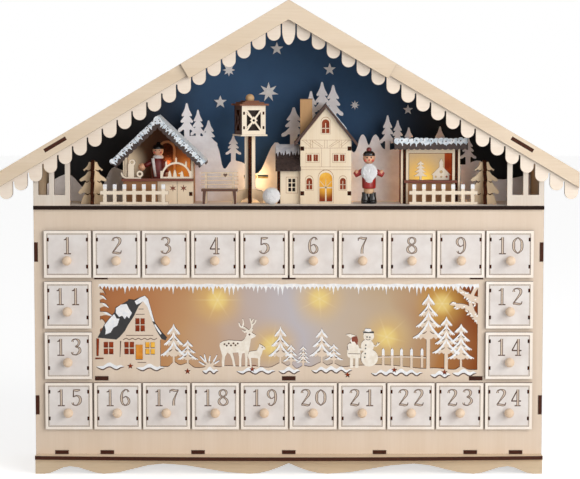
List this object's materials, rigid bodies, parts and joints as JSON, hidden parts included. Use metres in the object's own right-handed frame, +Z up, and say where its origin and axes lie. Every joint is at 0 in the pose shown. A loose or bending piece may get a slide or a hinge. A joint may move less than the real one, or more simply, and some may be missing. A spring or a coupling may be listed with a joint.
{
  "type": "advent calendar",
  "caption": "Plywood advent calendar: a gabled case with numbered drawers round a lit fret-cut winter picture, and a small village on a stage under the scalloped roof.",
  "frame": {"origin": "on the table, under the middle of the part's width and depth", "axes": "+X to the right seen from the front, +Y towards the back, +Z up"},
  "size_m": [0.46, 0.098, 0.3775],
  "materials": {
    "birch": "bare sanded birch plywood",
    "whitewashed_birch": "matt white wash",
    "brown_stained_wood": "matt stain",
    "night_blue_board": "matt paint",
    "snow_white_board": "matt paint",
    "red_painted_wood": "satin paint",
    "maroon_painted_wood": "satin paint",
    "frosted_film": "frosted",
    "white_fur": "fluffy",
    "black_plastic": "fine grain",
    "battery_shell": "glossy sleeve",
    "warm_wire": "satin"
  },
  "bodies": {
    "case": {"base_board": "birch", "base_skirt": "birch", "front_panel": "birch", "left_side_wall": "birch", "right_side_wall": "birch", "back_panel": "night_blue_board", "stage_floor": "whitewashed_birch", "upper_rack": "birch", "lower_rack": "birch", "picture_screen": "frosted_film", "battery_box": "black_plastic", "battery_1": "battery_shell", "battery_2": "battery_shell", "light_string": "warm_wire", "roof_left": "birch", "roof_right": "birch", "scalloped_trim": "birch", "roof_fascia": "birch", "left_gable_window": "birch", "right_gable_window": "birch", "snow_hills": "snow_white_board", "left_tree": "birch", "right_tree": "birch", "left_fence": "birch", "right_fence": "birch", "left_stall": "birch", "stall_keeper": "maroon_painted_wood", "bench": "birch", "lantern": "birch", "snowball": "white_fur", "town_house": "birch", "town_house_roof": "brown_stained_wood", "bearded_figure": "red_painted_wood", "right_stall": "birch"},
    "drawer_01": {"drawer_01": "whitewashed_birch"},
    "drawer_02": {"drawer_02": "whitewashed_birch"},
    "drawer_03": {"drawer_03": "whitewashed_birch"},
    "drawer_04": {"drawer_04": "whitewashed_birch"},
    "drawer_05": {"drawer_05": "whitewashed_birch"},
    "drawer_06": {"drawer_06": "whitewashed_birch"},
    "drawer_07": {"drawer_07": "whitewashed_birch"},
    "drawer_08": {"drawer_08": "whitewashed_birch"},
    "drawer_09": {"drawer_09": "whitewashed_birch"},
    "drawer_10": {"drawer_10": "whitewashed_birch"},
    "drawer_11": {"drawer_11": "whitewashed_birch"},
    "drawer_12": {"drawer_12": "whitewashed_birch"},
    "drawer_13": {"drawer_13": "whitewashed_birch"},
    "drawer_14": {"drawer_14": "whitewashed_birch"},
    "drawer_15": {"drawer_15": "whitewashed_birch"},
    "drawer_16": {"drawer_16": "whitewashed_birch"},
    "drawer_17": {"drawer_17": "whitewashed_birch"},
    "drawer_18": {"drawer_18": "whitewashed_birch"},
    "drawer_19": {"drawer_19": "whitewashed_birch"},
    "drawer_20": {"drawer_20": "whitewashed_birch"},
    "drawer_21": {"drawer_21": "whitewashed_birch"},
    "drawer_22": {"drawer_22": "whitewashed_birch"},
    "drawer_23": {"drawer_23": "whitewashed_birch"},
    "drawer_24": {"drawer_24": "whitewashed_birch"},
    "battery_cover": {"battery_cover": "black_plastic"},
    "switch_slider": {"switch_slider": "black_plastic"}
  },
  "joints": [
    {"name": "drawer_01_slide", "type": "slide", "parent": "case", "child": "drawer_01", "axis": [0, -1, 0], "range_m": [0, 0.06]},
    {"name": "drawer_02_slide", "type": "slide", "parent": "case", "child": "drawer_02", "axis": [0, -1, 0], "range_m": [0, 0.06]},
    {"name": "drawer_03_slide", "type": "slide", "parent": "case", "child": "drawer_03", "axis": [0, -1, 0], "range_m": [0, 0.06]},
    {"name": "drawer_04_slide", "type": "slide", "parent": "case", "child": "drawer_04", "axis": [0, -1, 0], "range_m": [0, 0.06]},
    {"name": "drawer_05_slide", "type": "slide", "parent": "case", "child": "drawer_05", "axis": [0, -1, 0], "range_m": [0, 0.06]},
    {"name": "drawer_06_slide", "type": "slide", "parent": "case", "child": "drawer_06", "axis": [0, -1, 0], "range_m": [0, 0.06]},
    {"name": "drawer_07_slide", "type": "slide", "parent": "case", "child": "drawer_07", "axis": [0, -1, 0], "range_m": [0, 0.06]},
    {"name": "drawer_08_slide", "type": "slide", "parent": "case", "child": "drawer_08", "axis": [0, -1, 0], "range_m": [0, 0.06]},
    {"name": "drawer_09_slide", "type": "slide", "parent": "case", "child": "drawer_09", "axis": [0, -1, 0], "range_m": [0, 0.06]},
    {"name": "drawer_10_slide", "type": "slide", "parent": "case", "child": "drawer_10", "axis": [0, -1, 0], "range_m": [0, 0.06]},
    {"name": "drawer_11_slide", "type": "slide", "parent": "case", "child": "drawer_11", "axis": [0, -1, 0], "range_m": [0, 0.06]},
    {"name": "drawer_12_slide", "type": "slide", "parent": "case", "child": "drawer_12", "axis": [0, -1, 0], "range_m": [0, 0.06]},
    {"name": "drawer_13_slide", "type": "slide", "parent": "case", "child": "drawer_13", "axis": [0, -1, 0], "range_m": [0, 0.06]},
    {"name": "drawer_14_slide", "type": "slide", "parent": "case", "child": "drawer_14", "axis": [0, -1, 0], "range_m": [0, 0.06]},
    {"name": "drawer_15_slide", "type": "slide", "parent": "case", "child": "drawer_15", "axis": [0, -1, 0], "range_m": [0, 0.06]},
    {"name": "drawer_16_slide", "type": "slide", "parent": "case", "child": "drawer_16", "axis": [0, -1, 0], "range_m": [0, 0.06]},
    {"name": "drawer_17_slide", "type": "slide", "parent": "case", "child": "drawer_17", "axis": [0, -1, 0], "range_m": [0, 0.06]},
    {"name": "drawer_18_slide", "type": "slide", "parent": "case", "child": "drawer_18", "axis": [0, -1, 0], "range_m": [0, 0.06]},
    {"name": "drawer_19_slide", "type": "slide", "parent": "case", "child": "drawer_19", "axis": [0, -1, 0], "range_m": [0, 0.06]},
    {"name": "drawer_20_slide", "type": "slide", "parent": "case", "child": "drawer_20", "axis": [0, -1, 0], "range_m": [0, 0.06]},
    {"name": "drawer_21_slide", "type": "slide", "parent": "case", "child": "drawer_21", "axis": [0, -1, 0], "range_m": [0, 0.06]},
    {"name": "drawer_22_slide", "type": "slide", "parent": "case", "child": "drawer_22", "axis": [0, -1, 0], "range_m": [0, 0.06]},
    {"name": "drawer_23_slide", "type": "slide", "parent": "case", "child": "drawer_23", "axis": [0, -1, 0], "range_m": [0, 0.06]},
    {"name": "drawer_24_slide", "type": "slide", "parent": "case", "child": "drawer_24", "axis": [0, -1, 0], "range_m": [0, 0.06]},
    {"name": "battery_cover_slide", "type": "slide", "parent": "case", "child": "battery_cover", "axis": [0, 1, 0], "range_m": [0, 0.025]},
    {"name": "switch_slide", "type": "slide", "parent": "case", "child": "switch_slider", "axis": [1, 0, 0], "range_m": [0, 0.004]}
  ]
}
